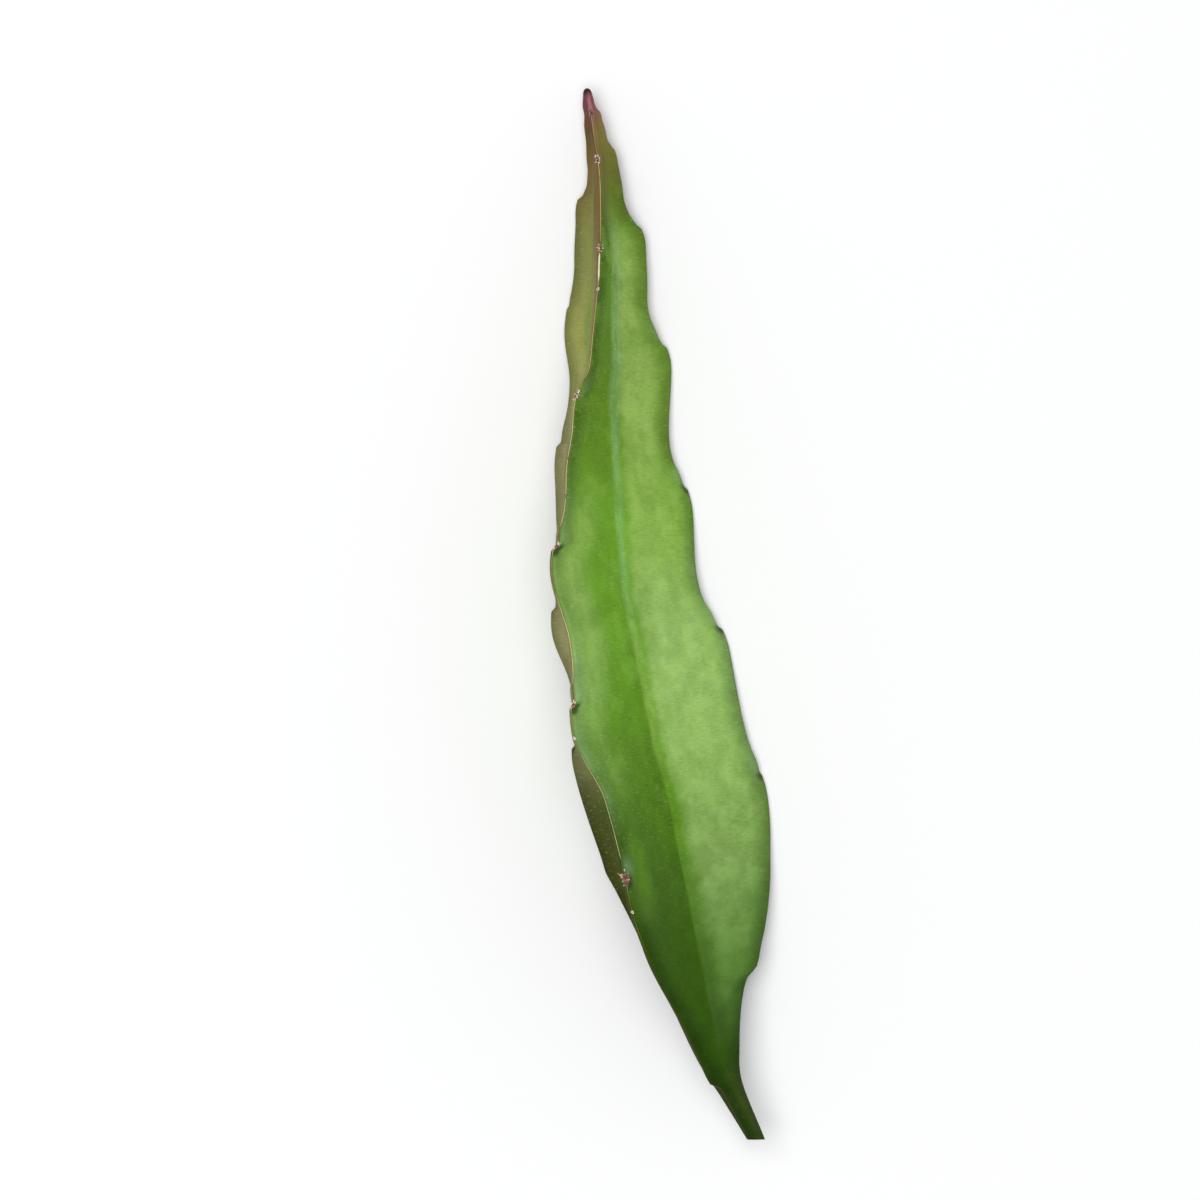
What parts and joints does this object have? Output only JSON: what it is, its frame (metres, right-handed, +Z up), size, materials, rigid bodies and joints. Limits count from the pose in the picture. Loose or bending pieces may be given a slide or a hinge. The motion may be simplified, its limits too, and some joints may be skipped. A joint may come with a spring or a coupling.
{
  "type": "dragon fruit cutting",
  "caption": "Three-winged climbing cactus stem cutting with scalloped wing edges, spined areoles, a pointed tip and a narrow cut stalk, lying down.",
  "frame": {"origin": "on the surface that the cutting lies on, under the middle of its outline", "axes": "+Y along the stem from its cut end to its tip, +X towards the wing that lies to the right seen from above, +Z up"},
  "size_m": [0.0531, 0.3004, 0.0497],
  "materials": {
    "stem_skin": "satin"
  },
  "bodies": {
    "root": {"winged_stem": "stem_skin"}
  },
  "joints": []
}
